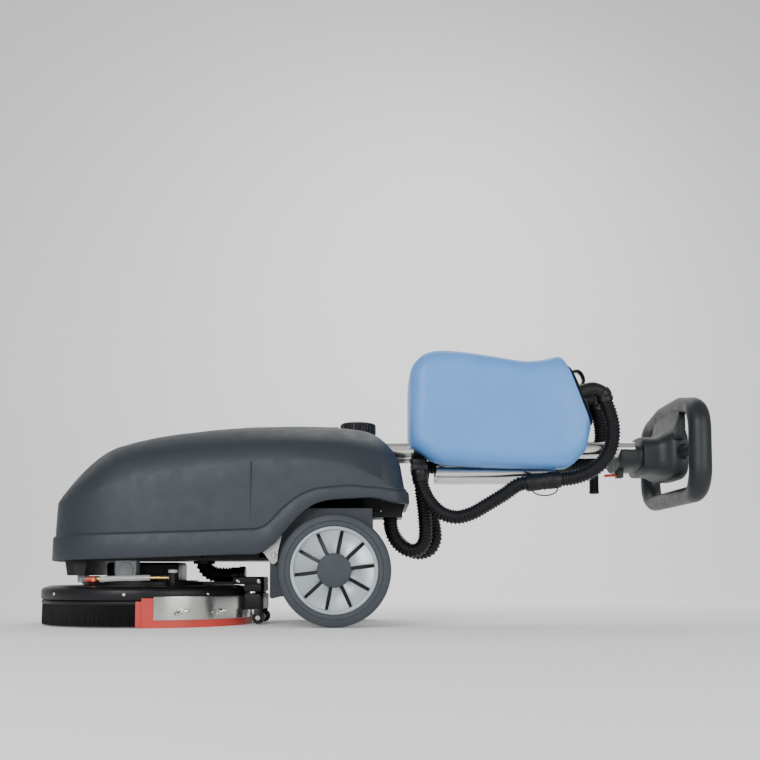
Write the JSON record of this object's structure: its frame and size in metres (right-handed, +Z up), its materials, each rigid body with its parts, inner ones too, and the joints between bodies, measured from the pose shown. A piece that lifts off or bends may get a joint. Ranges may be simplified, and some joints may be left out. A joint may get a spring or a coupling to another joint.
{
  "type": "floor scrubber machine",
  "caption": "Walk-behind floor scrubber with round brush deck, curved squeegee, large rear wheels, blue recovery tank on a fold-flat twin-tube column and a ring handle.",
  "frame": {"origin": "on the floor, under the centre of the machine's box", "axes": "+X towards the handle, +Y to the machine's far side, +Z up"},
  "size_m": [1.373, 0.445, 0.568],
  "materials": {
    "hood_shell": "fine moulded texture, satin",
    "chassis_grey": "moulded texture",
    "black_steel": "powder coated",
    "bright_steel": "polished",
    "tube_steel": "polished tube",
    "band_steel": "brushed",
    "inner_plastic": "natural moulding",
    "black_plastic": "moulded",
    "handle_plastic": "soft touch",
    "hose_rubber": "corrugated",
    "clear_pvc": "clear flexible tube",
    "elbow_grey": "moulded",
    "gear_alloy": "cast",
    "brass": "turned",
    "red_plastic": "moulded",
    "white_plastic": "moulded",
    "bristle_black": "nylon bristle",
    "bristle_blue": "nylon bristle",
    "squeegee_red": "cast polyurethane",
    "roller_grey": "moulded",
    "tank_blue": "rotomoulded",
    "button_green": "moulded",
    "button_blue": "moulded",
    "key_metal": "polished",
    "tyre_rubber": "smooth solid tyre",
    "rim_silver": "silver painted"
  },
  "bodies": {
    "chassis": {"chassis_box": "chassis_grey", "base_frame": "black_steel", "axle": "bright_steel", "solution_tank": "inner_plastic", "hood": "hood_shell", "battery": "inner_plastic", "vacuum_motor": "inner_plastic", "side_brackets": "bright_steel", "bracket_bolts": "bright_steel", "hinge_bracket": "black_steel", "hose_outlet_cover": "black_plastic", "filler_neck": "black_plastic", "water_elbow": "elbow_grey", "valve_body": "brass", "water_hose": "clear_pvc", "hose_barb": "brass", "nozzle_fitting": "white_plastic", "motor_block": "black_steel", "gear_housing": "gear_alloy", "deck_plate": "black_steel", "deck_bolts": "bright_steel", "skirt_holder": "black_plastic", "bristle_skirt": "bristle_black", "front_suction_hose": "hose_rubber", "dirty_water_hose": "hose_rubber", "vacuum_hose": "hose_rubber"},
    "squeegee": {"carrier_ring": "black_steel", "squeegee_blade": "squeegee_red", "squeegee_band": "band_steel", "wing_nuts": "bright_steel", "suction_block": "black_plastic"},
    "brush": {"drive_shaft": "bright_steel", "brush_block": "black_plastic", "brush_bristles": "bristle_blue"},
    "left_roller": {"left_guide_roller": "roller_grey"},
    "right_roller": {"right_guide_roller": "roller_grey"},
    "cap": {"filler_cap": "black_plastic"},
    "valve_lever": {"valve_handle": "red_plastic"},
    "column": {"column_tubes": "tube_steel", "lower_rails": "tube_steel", "hose_junction": "black_plastic", "recovery_tank": "tank_blue", "drain_spigot": "black_plastic", "outlet_hose": "hose_rubber", "tank_hose": "hose_rubber", "tank_vacuum_hose": "hose_rubber", "hose_coupling": "black_plastic", "neck_collar": "handle_plastic", "control_box": "handle_plastic", "handle_ring": "handle_plastic"},
    "lid": {"tank_lid": "black_plastic", "lid_elbows": "black_plastic"},
    "brush_switch": {"brush_button": "button_green"},
    "water_switch": {"water_button": "button_blue"},
    "key": {"key_switch": "key_metal"},
    "lever": {"angle_lever": "red_plastic"},
    "left_wheel": {"left_tyre": "tyre_rubber", "left_rim": "rim_silver"},
    "right_wheel": {"right_tyre": "tyre_rubber", "right_rim": "rim_silver"}
  },
  "joints": [
    {"name": "column_fold", "type": "hinge", "parent": "chassis", "child": "column", "pos_m": [0.015, 0, 0.365], "axis": [0, -1, 0], "range_deg": [0, 90]},
    {"name": "brush_spin", "type": "hinge", "parent": "chassis", "child": "brush", "pos_m": [-0.466, 0, 0.07], "axis": [0, 0, 1], "continuous": true},
    {"name": "squeegee_swivel", "type": "hinge", "parent": "chassis", "child": "squeegee", "pos_m": [-0.466, 0, 0.085], "axis": [0, 0, 1], "range_deg": [-15, 15], "deforming": ["front_suction_hose"]},
    {"name": "left_roller_spin", "type": "hinge", "parent": "squeegee", "child": "left_roller", "pos_m": [-0.222, -0.058, 0.014], "axis": [0, 1, 0], "continuous": true},
    {"name": "right_roller_spin", "type": "hinge", "parent": "squeegee", "child": "right_roller", "pos_m": [-0.222, 0.058, 0.014], "axis": [0, 1, 0], "continuous": true},
    {"name": "cap_turn", "type": "hinge", "parent": "chassis", "child": "cap", "pos_m": [-0.016, 0, 0.415], "axis": [0, 0, 1], "range_deg": [0, 90]},
    {"name": "valve_turn", "type": "hinge", "parent": "chassis", "child": "valve_lever", "pos_m": [-0.545, -0.143, 0.094], "axis": [0, 1, 0], "range_deg": [0, 90]},
    {"name": "lid_lift", "type": "slide", "parent": "column", "child": "lid", "axis": [0.9289, 0, 0.3702], "range_m": [0, 0.018]},
    {"name": "brush_switch_press", "type": "slide", "parent": "column", "child": "brush_switch", "axis": [-1, 0, 0], "range_m": [0, 0.002], "stiffness_N_per_m": 300},
    {"name": "water_switch_press", "type": "slide", "parent": "column", "child": "water_switch", "axis": [-1, 0, 0], "range_m": [0, 0.002], "stiffness_N_per_m": 300},
    {"name": "key_turn", "type": "hinge", "parent": "column", "child": "key", "pos_m": [0.67, 0, 0.345], "axis": [1, 0, 0], "range_deg": [0, 90]},
    {"name": "angle_lever_pull", "type": "hinge", "parent": "column", "child": "lever", "pos_m": [0.541, -0.03, 0.314], "axis": [0, -1, 0], "range_deg": [0, 20], "stiffness_Nm_per_rad": 0.1, "springref_deg": -8.59},
    {"name": "left_wheel_spin", "type": "hinge", "parent": "chassis", "child": "left_wheel", "pos_m": [-0.058, -0.19, 0.112], "axis": [0, 1, 0], "continuous": true},
    {"name": "right_wheel_spin", "type": "hinge", "parent": "chassis", "child": "right_wheel", "pos_m": [-0.058, 0.19, 0.112], "axis": [0, 1, 0], "continuous": true}
  ]
}
